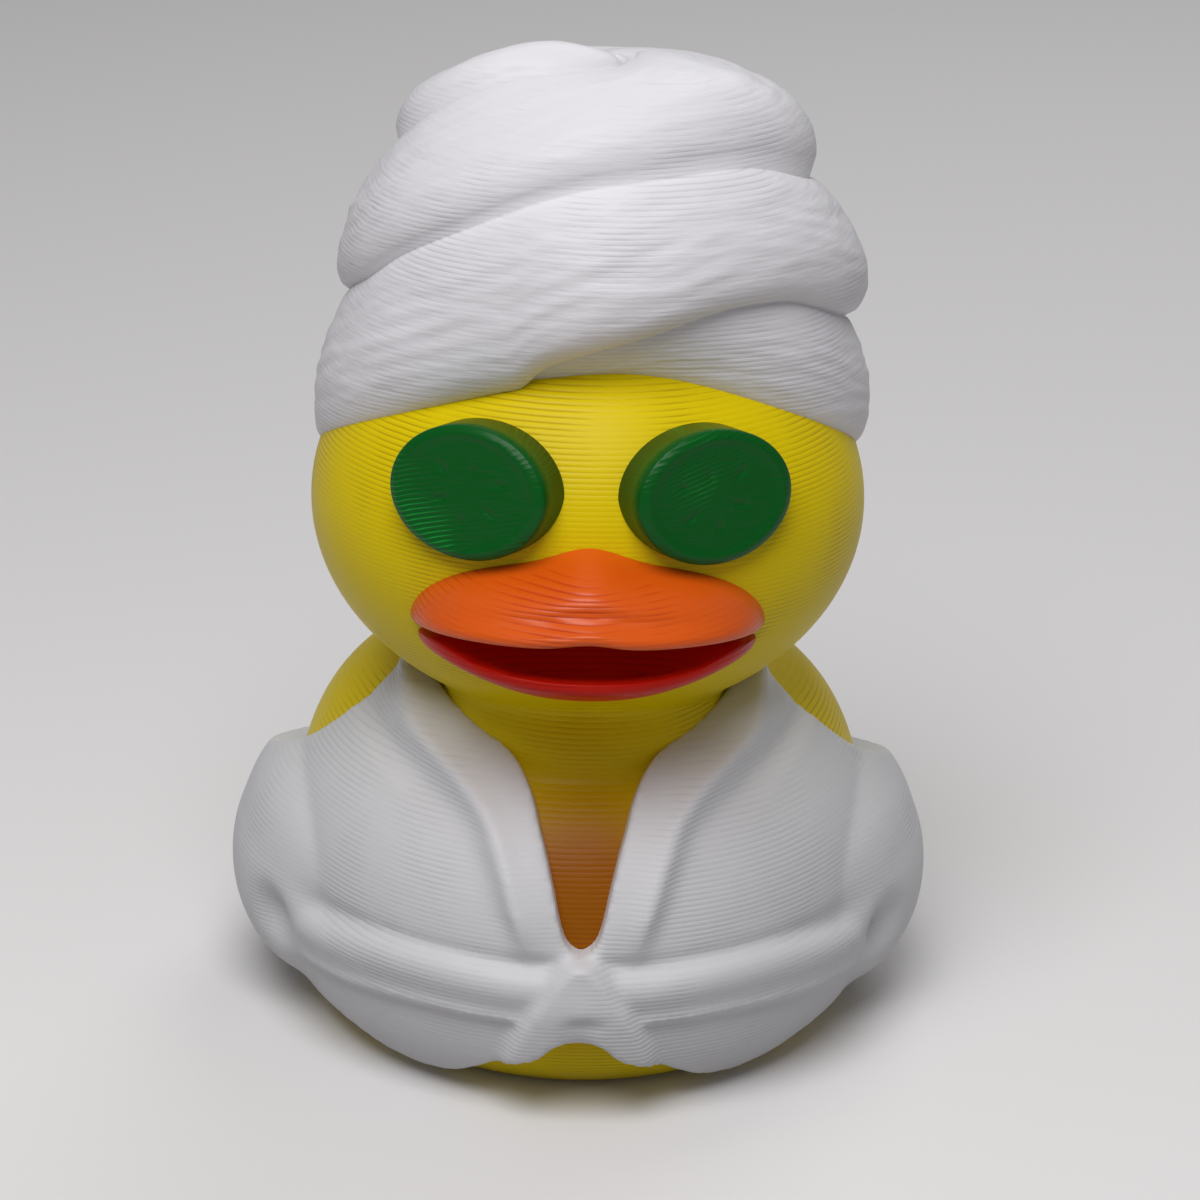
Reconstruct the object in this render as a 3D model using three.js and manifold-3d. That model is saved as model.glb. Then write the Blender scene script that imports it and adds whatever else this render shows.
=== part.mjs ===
// A small printed duck dressed for a bath: robe, twisted towel and cucumber slices over its eyes.
// Millimetres, +Z up, the duck faces -Y, and the flat underside lies on Z = 0 around the origin.
import * as THREE from "three";
import { mergeVertices } from "three/addons/utils/BufferGeometryUtils.js";
import manifoldLibrary from "manifold-3d";

const wasm = await manifoldLibrary();
wasm.setup();

// Gap left between two colours of the print
const seam = 0.25;

// Torso: an egg with a fuller lower half, cut flat underneath
const torsoCentre = new THREE.Vector3(0, 2.5, 10);
const torsoSide = 17;
const torsoFront = 20;
const torsoBack = 19;
const torsoTop = 12.9;
const torsoBottom = 11.5;
const torsoSquareness = 3.6;

// Tail: a pointed lift at the back of the torso
const tailReach = 6.5;
const tailElevation = 0.66;
const tailSpread = 0.34;

// Head and the short neck under it
const headCentre = new THREE.Vector3(0, -3, 32.3);
const headSide = 15.85;
const headDepth = 14;
const headHeight = 12.6;
const neckCentre = new THREE.Vector3(0, -4, 19.5);
const neckSide = 8.4;
const neckDepth = 8.8;
const neckHeight = 6;

// Robe: a shell over the torso with its own fuller skirt
const robeThickness = 1.25;
const shoulderBack = -1.5;
const skirtSquareness = 3.2;
const hemHeight = 2.6;
const hemDroop = 0.9;
const hemDroopAngle = 0.46;
const hemSplit = 3.4;
const hemSplitAngle = 0.14;
const sleeveSide = 14.75;
const sleeveBack = 3.2;
const sleeveHeight = 7.3;
const sleeveThickness = 6;
const sleeveLength = 12.6;
const sleeveDepth = 7.6;
const sleeveTurn = 0.08;
const sleeveClearance = 0.8;

// Neck opening: half its angle round the torso at each height, as [elevation, half angle]
const openingEdge = [
  [0.02, 0.01],
  [0.07, 0.05],
  [0.31, 0.1],
  [0.48, 0.145],
  [0.69, 0.235],
  [0.81, 0.39],
  [0.94, 0.87],
  [1.02, 1.3],
  [1.1, 1.75],
  [1.35, 1.9],
];
// Outer ridge of the lapel, as [elevation, half angle]
const lapelRidge = [
  [-0.06, 0.16],
  [0.11, 0.19],
  [0.2, 0.215],
  [0.37, 0.27],
  [0.53, 0.35],
  [0.66, 0.53],
  [0.78, 0.86],
  [0.86, 1.07],
  [0.93, 1.5],
];
const lapelRise = 0.85;

// Belt and its knot
const beltTop = 0.02;
const beltBottom = -0.3;
const beltRise = 0.9;
const knotWidth = 3;
const knotHeight = 2.8;
const knotRise = 1.2;
const endWidth = 2.2;
const endLength = 6.8;
const endAngle = 0.8;

// Towel: its lower edge, then one fold line that climbs round the head as a helix
const towelEdgeFront = headCentre.z + 0.76 * headHeight;
const towelEdgeBack = headCentre.z - 0.01 * headHeight;
const towelPeak = 0.02;
const towelArch = 1.8;
const towelDepthShare = headDepth / headSide;
const towelLean = 0.08;
const foldStart = -0.055;
const foldEnd = foldStart + 2.25;
// The fold line as [turns from the front, height above the head's centre, radius], as shares of the head
const foldLine = [
  [-0.035, 0.817, 0.732],
  [0, 0.91, 0.77],
  [0.022, 0.952, 0.782],
  [0.046, 1, 0.795],
  [0.069, 1.048, 0.808],
  [0.093, 1.079, 0.82],
  [0.119, 1.087, 0.839],
  [0.149, 1.063, 0.858],
  [0.215, 0.913, 0.896],
  [0.3, 0.786, 0.909],
  [0.5, 0.706, 0.896],
  [0.7, 0.841, 0.877],
  [0.8, 1.048, 0.845],
  [0.854, 1.246, 0.826],
  [0.902, 1.397, 0.808],
  [0.95, 1.536, 0.782],
  [0.985, 1.603, 0.763],
  [1.02, 1.639, 0.751],
  [1.09, 1.667, 0.732],
  [1.14, 1.639, 0.732],
  [1.215, 1.516, 0.757],
  [1.3, 1.429, 0.757],
  [1.5, 1.357, 0.726],
  [1.7, 1.5, 0.7],
  [1.78, 1.659, 0.681],
  [1.826, 1.817, 0.618],
  [1.86, 1.913, 0.543],
  [1.9, 1.976, 0.442],
  [2, 1.992, 0.29],
  [foldEnd, 1.952, 0],
];
// How far each roll swells past the line between its folds, as [turns, share of its height]
const rollSwell = [
  [-1.03, 0.1],
  [-0.75, 0.17],
  [-0.5, 0.19],
  [-0.25, 0.13],
  [0, 0.26],
  [0.25, 0.24],
  [0.5, 0.2],
  [0.75, 0.15],
  [1, 0.22],
  [1.25, 0.27],
  [1.75, 0.25],
  [2.25, 0.25],
];
const rollRoundness = 0.62;
const rollSag = 0.85;

// Cucumber slices over the eyes
const sliceWidth = 9.45;
const sliceHeight = 7.45;
const sliceThickness = 2.6;
const sliceBevel = 0.45;
const sliceTurn = 0.47;
const sliceTilt = 0.12;
const sliceAcross = 6.85;
const sliceUp = headCentre.z + 4.4;
const sliceOut = headDepth + 2.3;
const seedDepth = 0.18;
const seedCount = 3;

// Bill: a broad cap above and a shallow scoop below, with the mouth open between them
const billRoot = -12.4;
const billHalfWidth = 9.85;
const billReach = 9.6;
const billLipDrop = 1.95;
const billCornerDrop = 1.75;
const billBumpRise = 4.05;
const billLipThickness = 1.1;
const billWave = 0.3;
const billShoulder = 0.8;
const scoopHalfWidth = 9;
const scoopReach = 8;
const scoopGape = 3.7;
const scoopThickness = 1.5;
const scoopRim = 0.55;

const yellow = new THREE.MeshStandardMaterial({ color: 0xd9c60a, roughness: 0.45, metalness: 0 });
const robeWhite = new THREE.MeshStandardMaterial({ color: 0xdcdce0, roughness: 0.6, metalness: 0 });
const towelWhite = new THREE.MeshStandardMaterial({ color: 0xe8e6ea, roughness: 0.6, metalness: 0 });
const green = new THREE.MeshStandardMaterial({ color: 0x0a6b2a, roughness: 0.45, metalness: 0 });
const orange = new THREE.MeshStandardMaterial({ color: 0xe2661b, roughness: 0.4, metalness: 0 });
const red = new THREE.MeshStandardMaterial({ color: 0xb51a12, roughness: 0.4, metalness: 0 });

// A smooth value through a short table whose first column rises
function through(table, at, column = 1) {
  const last = table.length - 1;
  if (at <= table[0][0]) return table[0][column];
  if (at >= table[last][0]) return table[last][column];
  let i = 0;
  while (table[i + 1][0] < at) i++;
  const slope = (k) => {
    const before = Math.max(k - 1, 0);
    const after = Math.min(k + 1, last);
    return (table[after][column] - table[before][column]) / (table[after][0] - table[before][0]);
  };
  const span = table[i + 1][0] - table[i][0];
  const t = (at - table[i][0]) / span;
  const rise = table[i + 1][column] - table[i][column];
  const bend = t * (1 - t) * (1 - t) * (slope(i) * span - rise);
  const unbend = t * t * (t - 1) * (slope(i + 1) * span - rise);
  return table[i][column] + rise * t + bend + unbend;
}

const bellCurve = (x, width) => Math.exp(-((x / width) ** 2));

// Geometry to solid and back, for the joins and cuts
function solidOf(geometry) {
  const bare = geometry.clone();
  for (const name of Object.keys(bare.attributes)) {
    if (name !== "position") bare.deleteAttribute(name);
  }
  const merged = mergeVertices(bare, 1e-4);
  const corners = merged.index.array;
  const faces = [];
  for (let i = 0; i < corners.length; i += 3) {
    const [a, b, c] = corners.slice(i, i + 3);
    if (a !== b && b !== c && c !== a) faces.push(a, b, c);
  }
  const built = (list) =>
    new wasm.Manifold(
      new wasm.Mesh({
        numProp: 3,
        vertProperties: new Float32Array(merged.attributes.position.array),
        triVerts: new Uint32Array(list),
      }),
    );
  const solid = built(faces);
  return solid.volume() > 0 ? solid : built(faces.reverse());
}

function namedMesh(name, solid, material) {
  const data = solid.getMesh();
  const geometry = new THREE.BufferGeometry();
  geometry.setAttribute("position", new THREE.BufferAttribute(data.vertProperties, 3));
  geometry.setIndex(new THREE.BufferAttribute(data.triVerts, 1));
  geometry.computeVertexNormals();
  const mesh = new THREE.Mesh(geometry, material);
  mesh.name = name;
  return mesh;
}

const join = (...solids) => solids.reduce((all, next) => all.add(next));

// A ball whose points are moved by a rule that takes a direction
function ball(columns, rows, place) {
  const geometry = new THREE.SphereGeometry(1, columns, rows).rotateX(Math.PI / 2);
  const position = geometry.attributes.position;
  const point = new THREE.Vector3();
  for (let i = 0; i < position.count; i++) {
    point.fromBufferAttribute(position, i);
    place(point);
    position.setXYZ(i, point.x, point.y, point.z);
  }
  return solidOf(geometry);
}

function ellipsoid(centre, side, depth, height, columns, rows) {
  return ball(columns, rows, (p) => p.set(p.x * side, p.y * depth, p.z * height).add(centre));
}

// A point on the torso, grown outward, where its lower half is as square as asked
function ontoTorso(p, grow, squareness) {
  const depth = p.y < 0 ? torsoFront : torsoBack;
  const height = p.z < 0 ? torsoBottom : torsoTop;
  const flat = Math.hypot(p.x, p.y);
  const power = p.z < 0 ? squareness : 2;
  const stretch = (flat ** power + Math.abs(p.z) ** power) ** (-1 / power);
  const angle = Math.acos(
    THREE.MathUtils.clamp(p.y * Math.cos(tailElevation) + p.z * Math.sin(tailElevation), -1, 1),
  );
  const tail = tailReach * bellCurve(angle, tailSpread);
  p.multiplyScalar(stretch);
  p.set(p.x * (torsoSide + grow), p.y * (depth + grow), p.z * (height + grow)).add(torsoCentre);
  p.y += tail * Math.cos(tailElevation);
  p.z += tail * Math.sin(tailElevation);
  return p;
}

const fromAngles = (azimuth, elevation) =>
  new THREE.Vector3(
    Math.sin(azimuth) * Math.cos(elevation),
    -Math.cos(azimuth) * Math.cos(elevation),
    Math.sin(elevation),
  );

const onRobe = (azimuth, elevation, rise) =>
  ontoTorso(fromAngles(azimuth, elevation), robeThickness + rise, skirtSquareness);

// Everything below a level, for the flat underside and what hangs clear of the table
const farOut = 4 * torsoSide;
const below = (level) =>
  solidOf(new THREE.BoxGeometry(farOut, farOut, torsoBottom).translate(0, 0, level - torsoBottom / 2));

// The duck itself, grown outward when it is used to hollow out what it wears
function duck(grow, columns, rows) {
  const torso = ball(columns, rows, (p) => ontoTorso(p, grow, torsoSquareness));
  const head = ellipsoid(headCentre, headSide + grow, headDepth + grow, headHeight + grow, columns, rows);
  const neck = ellipsoid(neckCentre, neckSide + grow, neckDepth + grow, neckHeight + grow, 24, 12);
  return join(torso, head, neck);
}

const duckBody = duck(0, 40, 24).subtract(below(0));
const duckGrown = duck(seam, 30, 18);

// A strip laid over the robe between two edges, closed into a solid that reaches under the surface
function strip(stations, section) {
  const points = [];
  for (const station of stations) points.push(section(station));
  const sides = points[0].length;
  const vertices = points.flat();
  const index = [];
  for (let i = 0; i + 1 < points.length; i++) {
    for (let j = 0; j < sides; j++) {
      const a = i * sides + j;
      const b = i * sides + ((j + 1) % sides);
      index.push(a, b, a + sides, b, b + sides, a + sides);
    }
  }
  const far = (points.length - 1) * sides;
  for (let j = 1; j + 1 < sides; j++) {
    index.push(0, j + 1, j);
    index.push(far, far + j, far + j + 1);
  }
  const geometry = new THREE.BufferGeometry().setFromPoints(vertices);
  geometry.setIndex(index);
  return solidOf(geometry);
}

const spread = (from, to, count) =>
  Array.from({ length: count + 1 }, (_, i) => THREE.MathUtils.lerp(from, to, i / count));

// Lapel: slopes up from the opening to a rounded ridge, then drops to the front panel
function lapel(side) {
  return strip(spread(-0.06, 0.93, 18), (elevation) => {
    const inner = through(openingEdge, elevation);
    const outer = through(lapelRidge, elevation);
    const across = (share, rise) => onRobe(side * THREE.MathUtils.lerp(inner, outer, share), elevation, rise);
    return [
      across(-0.02, -robeThickness),
      across(-0.02, 0.1),
      across(0.35, lapelRise * 0.35),
      across(0.75, lapelRise * 0.85),
      across(0.97, lapelRise),
      across(1.14, lapelRise * 0.75),
      across(1.28, -0.25),
      across(1.28, -robeThickness),
    ];
  });
}

// Belt: a raised band round the waist, fuller at its lower edge
function halfBelt(side) {
  return strip(spread(-0.05, Math.PI + 0.05, 26), (azimuth) => {
    const level = (share, rise) =>
      onRobe(side * azimuth, THREE.MathUtils.lerp(beltTop, beltBottom, share), rise);
    return [
      level(0, -robeThickness),
      level(0, 0.05),
      level(0.14, beltRise * 0.8),
      level(0.86, beltRise),
      level(1, 0),
      level(1, -robeThickness),
    ];
  });
}

// Knot: a ridged tuck above two short ends that spread down and out
const knotFace = onRobe(0, -0.12, 0);
const knot = ball(20, 14, (p) => {
  const pinch = 0.7 - 0.35 * p.z;
  p.set(p.x * knotWidth * pinch, p.y * (knotRise + robeThickness), p.z * knotHeight);
  p.add(knotFace).add(new THREE.Vector3(0, robeThickness / 2, 0));
});
function beltEnd(side) {
  const middle = new THREE.Matrix4()
    .makeTranslation(knotFace.x, knotFace.y + robeThickness * 0.8, knotFace.z)
    .multiply(new THREE.Matrix4().makeRotationY(-side * endAngle));
  return ball(18, 14, (p) => {
    const flare = 0.75 - 0.35 * p.z;
    p.set(p.x * endWidth * flare, p.y * (knotRise + robeThickness * 0.8), (p.z - 0.75) * (endLength / 2));
    p.applyMatrix4(middle);
  });
}

// Sleeves: full, rounded and closed at the cuff, over the folded wings
function sleeve(side) {
  return ball(26, 16, (p) => {
    p.set(p.x * sleeveThickness, p.y * sleeveLength, p.z * sleeveDepth);
    p.applyAxisAngle(new THREE.Vector3(0, 0, 1), -side * sleeveTurn);
    p.add(new THREE.Vector3(side * sleeveSide, sleeveBack, sleeveHeight));
  });
}

// The hem: everything below a wavy line, lowest beside the knot and split under it
const hemLine = (azimuth) => {
  const away = Math.abs(azimuth);
  const droop = hemDroop * bellCurve(away - hemDroopAngle, 0.2);
  const split = hemSplit * bellCurve(away, hemSplitAngle);
  return hemHeight - droop + split;
};
function belowHem() {
  const profile = [
    new THREE.Vector2(0, -torsoBottom),
    new THREE.Vector2(farOut / 2, -torsoBottom),
    new THREE.Vector2(farOut / 2, hemHeight / 2),
    new THREE.Vector2(torsoSide / 2, hemHeight / 2),
    new THREE.Vector2(0, hemHeight / 2),
  ];
  const geometry = new THREE.LatheGeometry(profile, 72).rotateX(Math.PI / 2);
  const position = geometry.attributes.position;
  for (let i = 0; i < position.count; i++) {
    const x = position.getX(i);
    const y = position.getY(i);
    if (position.getZ(i) > 0) position.setZ(i, hemLine(Math.hypot(x, y) > 1 ? Math.atan2(x, -y) : 1));
  }
  return solidOf(geometry);
}

// Neck opening: a wedge that leaves through the front between the two edges
function neckOpening() {
  const last = openingEdge[openingEdge.length - 1][0];
  return strip(spread(openingEdge[0][0], last, 30), (elevation) => {
    const half = through(openingEdge, elevation);
    const arc = (rise) => spread(-half, half, 4).map((azimuth) => onRobe(azimuth, elevation, rise));
    return [...arc(6), ...arc(-robeThickness - 3).reverse()];
  });
}

// The bare back: the robe stops at the shoulders and hangs round the rump
function bareBack() {
  const at = (back, rise) => [shoulderBack + back * torsoBack, torsoCentre.z + rise * torsoTop];
  const side = new THREE.Shape();
  side.moveTo(...at(0, 2.4));
  side.lineTo(...at(0, 0.75));
  side.bezierCurveTo(...at(0, 0.36), ...at(0.38, 0.28), ...at(0.66, 0.17));
  side.bezierCurveTo(...at(0.92, 0.08), ...at(1.25, 0.05), ...at(2.2, 0.05));
  side.lineTo(...at(2.2, 2.4));
  side.closePath();
  const geometry = new THREE.ExtrudeGeometry(side, { depth: farOut, bevelEnabled: false, curveSegments: 10 });
  geometry.applyMatrix4(new THREE.Matrix4().set(0, 0, 1, -farOut / 2, 1, 0, 0, 0, 0, 1, 0, 0, 0, 0, 0, 1));
  return solidOf(geometry);
}

const robeShell = ball(44, 24, (p) => ontoTorso(p, robeThickness, skirtSquareness));
const robe = join(robeShell, lapel(1), lapel(-1))
  .subtract(bareBack())
  .add(join(halfBelt(1), halfBelt(-1), knot, beltEnd(1), beltEnd(-1)))
  .subtract(neckOpening())
  .subtract(belowHem())
  .add(join(sleeve(1), sleeve(-1)).subtract(below(sleeveClearance)))
  .subtract(duckGrown);

// The lower edge of the towel, just inside the head
function towelEdge(turn) {
  const front = (1 + Math.cos((turn - towelPeak) * 2 * Math.PI)) / 2;
  const height = towelEdgeBack + (towelEdgeFront - towelEdgeBack) * front ** towelArch;
  const radius = headSide * Math.sqrt(1 - ((height - headCentre.z) / headHeight) ** 2) * 0.97;
  return { height, radius };
}
const foldFirst = towelEdge(foldStart);
const wholeFoldLine = [
  [foldStart, (foldFirst.height - headCentre.z) / headHeight, foldFirst.radius / headSide],
  ...foldLine,
];
function foldAt(turn) {
  if (turn <= foldStart) return towelEdge(turn);
  const height = headCentre.z + headHeight * through(wholeFoldLine, turn, 1);
  return { height, radius: headSide * Math.max(through(wholeFoldLine, turn, 2), 0) };
}

// One long roll of cloth: a strip from the fold line up to the same line one turn later
function towelPoint(turn, share) {
  const low = foldAt(turn);
  const high = foldAt(Math.min(turn + 1, foldEnd));
  const height = THREE.MathUtils.lerp(low.height, high.height, share);
  const radius = THREE.MathUtils.lerp(low.radius, high.radius, share);
  const rise = high.height - low.height;
  const run = high.radius - low.radius;
  const swell = through(rollSwell, turn) * Math.sin(Math.PI * share ** rollSag) ** rollRoundness;
  const out = radius + rise * swell;
  const up = height - run * swell;
  const angle = turn * 2 * Math.PI;
  const lean = towelLean * (up - headCentre.z);
  return new THREE.Vector3(
    out * Math.sin(angle),
    headCentre.y + lean - out * towelDepthShare * Math.cos(angle),
    up,
  );
}

function towel(columnsPerTurn, rows) {
  const first = foldStart - 1;
  const columns = Math.round((foldEnd - first) * columnsPerTurn);
  const stride = rows + 1;
  const vertices = [];
  const index = [];
  for (let i = 0; i <= columns; i++) {
    for (let j = 0; j <= rows; j++) vertices.push(towelPoint(first + i / columnsPerTurn, j / rows));
  }
  for (let i = 0; i < columns; i++) {
    for (let j = 0; j < rows; j++) {
      const a = i * stride + j;
      index.push(a, a + stride, a + 1, a + 1, a + stride, a + stride + 1);
    }
  }
  const inside = vertices.push(new THREE.Vector3(0, headCentre.y, towelEdgeBack)) - 1;
  for (let i = 0; i < columnsPerTurn; i++) index.push((i + 1) * stride, i * stride, inside);
  const geometry = new THREE.BufferGeometry().setFromPoints(vertices);
  geometry.setIndex(index);
  return solidOf(geometry).subtract(duckGrown);
}

// A slice: a bevelled disc, half let into the head and turned outward on its side
const sliceTurned = (side, solid) => {
  const turn = new THREE.Matrix4().makeRotationZ(side * sliceTurn);
  turn.multiply(new THREE.Matrix4().makeRotationX(-sliceTilt));
  turn.multiply(new THREE.Matrix4().makeRotationZ(Math.PI));
  turn.setPosition(side * sliceAcross, -sliceOut, sliceUp);
  return solid.transform(turn.elements);
};
function sliceDisc(side, grow) {
  const profile = [
    new THREE.Vector2(0, -sliceThickness - grow),
    new THREE.Vector2(1, -sliceThickness - grow),
    new THREE.Vector2(1, grow - sliceBevel),
    new THREE.Vector2(1 - (2 * sliceBevel) / sliceWidth, grow),
    new THREE.Vector2(0, grow),
  ];
  const disc = new THREE.LatheGeometry(profile, 36);
  disc.scale(sliceWidth / 2 + grow, 1, sliceHeight / 2 + grow);
  return sliceTurned(side, solidOf(disc));
}

// Three shallow seed pockets in the face of each slice
function slice(side) {
  let solid = sliceDisc(side, 0);
  for (let k = 0; k < seedCount; k++) {
    const seed = new THREE.SphereGeometry(1, 10, 6)
      .scale(sliceHeight * 0.16, seedDepth * 2, sliceHeight * 0.08)
      .translate(sliceHeight * 0.2, seedDepth, 0)
      .rotateY(((k + 0.25) * 2 * Math.PI) / seedCount);
    solid = solid.subtract(sliceTurned(side, solidOf(seed)));
  }
  return solid.subtract(duckGrown);
}

// Upper bill: a broad cap, highest at the root, thinning to a slightly waved lip
const billLipHeight = headCentre.z - billLipDrop;
const billRim = (x) => {
  const front = Math.sqrt(Math.max(1 - x * x, 0));
  return billLipHeight - billCornerDrop * (1 - front) + billWave * bellCurve(x, 0.18);
};
const upperBill = ball(40, 20, (p) => {
  const rim = billRim(p.x);
  const ridge = THREE.MathUtils.lerp(billShoulder, 1, bellCurve(p.x, 0.24));
  const crown = (billLipHeight + billBumpRise - rim) * ridge;
  const z = p.z > 0 ? rim + crown * p.z ** 1.25 : rim - billLipThickness * (-p.z) ** 0.4;
  p.set(p.x * billHalfWidth, billRoot + p.y * billReach, z);
})
  .subtract(duckGrown)
  .subtract(sliceDisc(1, seam))
  .subtract(sliceDisc(-1, seam));

// Lower bill: a shallow scoop with a raised rim, closed behind under the upper bill
const lowerBill = ball(40, 20, (p) => {
  const y = billRoot + p.y * scoopReach;
  const edge = Math.hypot(p.x, p.y);
  const roof = billRim(p.x) - billLipThickness - seam;
  const back = THREE.MathUtils.smoothstep(p.y, -0.75, -0.375);
  const middle = billLipHeight - scoopGape + scoopRim * edge ** 5;
  const floor = THREE.MathUtils.lerp(middle, roof, Math.abs(p.x) ** 3 * 0.5);
  const top = THREE.MathUtils.lerp(floor, roof, back);
  const z = p.z > 0 ? top : floor - scoopThickness * (-p.z) ** 0.6;
  p.set(p.x * scoopHalfWidth, y, Math.min(z, roof));
}).subtract(duckGrown);

const group = new THREE.Group();
group.add(namedMesh("duck_body", duckBody, yellow));
group.add(namedMesh("bath_robe", robe, robeWhite));
group.add(namedMesh("towel_turban", towel(44, 7), towelWhite));
group.add(namedMesh("cucumber_slice_left", slice(-1), green));
group.add(namedMesh("cucumber_slice_right", slice(1), green));
group.add(namedMesh("upper_bill", upperBill, orange));
group.add(namedMesh("lower_bill", lowerBill, red));

export default group;
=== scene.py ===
import math

import bmesh
import bpy
from mathutils import Matrix, Vector, noise


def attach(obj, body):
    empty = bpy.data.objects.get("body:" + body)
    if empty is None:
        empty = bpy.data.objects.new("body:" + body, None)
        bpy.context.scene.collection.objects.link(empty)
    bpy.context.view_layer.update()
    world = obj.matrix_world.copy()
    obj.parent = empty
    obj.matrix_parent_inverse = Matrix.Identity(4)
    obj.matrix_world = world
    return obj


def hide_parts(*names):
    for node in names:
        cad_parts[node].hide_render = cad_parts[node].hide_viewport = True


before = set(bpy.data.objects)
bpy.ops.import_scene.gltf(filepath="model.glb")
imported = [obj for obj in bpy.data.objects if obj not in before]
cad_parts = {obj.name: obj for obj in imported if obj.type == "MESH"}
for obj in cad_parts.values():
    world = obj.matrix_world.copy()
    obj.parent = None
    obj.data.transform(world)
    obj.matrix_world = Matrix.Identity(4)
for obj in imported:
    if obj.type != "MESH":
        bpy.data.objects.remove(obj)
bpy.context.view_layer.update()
print("frame loaded: a printed duck in a bath robe")

mm = 0.001

# Shared look of the print: the lines between its layers, lengths in millimetres
layerLines = {
    "pitch": 0.28,
    "depth": 0.035,
    "waver": 0.9,
    "streak": 6,
    "glowDepth": 0.6,
    "wornFrom": 0.44,
    "wornEdge": 6,
    "grooveFrom": 0.35,
    # how many clouds go into a metre
    "waverClouds": 260,
    "wornClouds": 150,
    "streakClouds": 330,
    "unevenClouds": 420,
}


def through(table, at, column=1):  # a smooth value through a table whose first column rises
    last = len(table) - 1
    if at <= table[0][0]:
        return table[0][column]
    if at >= table[last][0]:
        return table[last][column]
    i = 0
    while table[i + 1][0] < at:
        i += 1

    def slope(k):
        before, after = max(k - 1, 0), min(k + 1, last)
        return (table[after][column] - table[before][column]) / (table[after][0] - table[before][0])

    span = table[i + 1][0] - table[i][0]
    t = (at - table[i][0]) / span
    rise = table[i + 1][column] - table[i][column]
    bend = t * (1 - t) ** 2 * (slope(i) * span - rise)
    unbend = t * t * (t - 1) * (slope(i + 1) * span - rise)
    return table[i][column] + rise * t + bend + unbend


def mix(a, b, share):
    return a + (b - a) * share


def bell(x, width):
    return math.exp(-((x / width) ** 2))


def easeStep(low, high, x):
    t = min(max((x - low) / (high - low), 0), 1)
    return t * t * (3 - 2 * t)


def movePoints(bm, place):  # every point goes where the rule says, in millimetres
    for vert in bm.verts:
        vert.co = Vector(place(vert.co)) * mm


def roundBall(columns, rows, place):
    bm = bmesh.new()
    bmesh.ops.create_uvsphere(bm, u_segments=columns, v_segments=rows, radius=1)
    movePoints(bm, place)
    return bm


def fineBlock(cuts, place):
    bm = bmesh.new()
    bmesh.ops.create_cube(bm, size=2)
    bmesh.ops.subdivide_edges(bm, edges=bm.edges[:], cuts=cuts, use_grid_fill=True)
    movePoints(bm, place)
    return bm


def tidied(bm):  # doubles merged and faces turned outwards
    gap = 0.001 * mm
    bmesh.ops.remove_doubles(bm, verts=bm.verts[:], dist=gap)
    bmesh.ops.dissolve_degenerate(bm, edges=bm.edges[:], dist=gap / 10)
    bmesh.ops.recalc_face_normals(bm, faces=bm.faces[:])
    return bm


def asObject(name, *shapes):
    mesh = bpy.data.meshes.new(name)
    whole = bmesh.new()
    for bm in shapes:
        tidied(bm)
        part = bpy.data.meshes.new("part")
        bm.to_mesh(part)
        bm.free()
        whole.from_mesh(part)
        bpy.data.meshes.remove(part)
    whole.to_mesh(mesh)
    whole.free()
    piece = bpy.data.objects.new(name, mesh)
    bpy.context.scene.collection.objects.link(piece)
    return piece


def settle(piece):  # what the modifiers make becomes the mesh itself
    bpy.context.view_layer.update()
    graph = bpy.context.evaluated_depsgraph_get()
    done = bpy.data.meshes.new_from_object(piece.evaluated_get(graph))
    piece.modifiers.clear()
    old = piece.data
    piece.data = done
    bpy.data.meshes.remove(old)


def cutAway(piece, tool):
    step = piece.modifiers.new("cut", "BOOLEAN")
    step.operation = "DIFFERENCE"
    step.solver = "MANIFOLD"
    step.object = tool
    settle(piece)
    bpy.data.objects.remove(tool)


def fuse(piece, grain, passes):  # one skin, with soft joins as a print has
    skin = piece.modifiers.new("skin", "REMESH")
    skin.mode = "VOXEL"
    skin.voxel_size = grain * mm
    soft = piece.modifiers.new("soft", "SMOOTH")
    soft.factor = 0.5
    soft.iterations = passes
    settle(piece)


def finishPiece(piece, material, node):  # its finish, and the solid that it stands for
    piece.data.materials.clear()
    piece.data.materials.append(material)
    piece.data.shade_smooth()
    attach(piece, "root")
    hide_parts(node)
    print(f"{piece.name} made: {len(piece.data.polygons)} faces")


def srgb(red, green, blue):  # from the 0 to 255 of a colour picker
    def linear(c):
        c /= 255
        return c / 12.92 if c <= 0.04045 else ((c + 0.055) / 1.055) ** 2.4

    return (linear(red), linear(green), linear(blue), 1)


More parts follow.
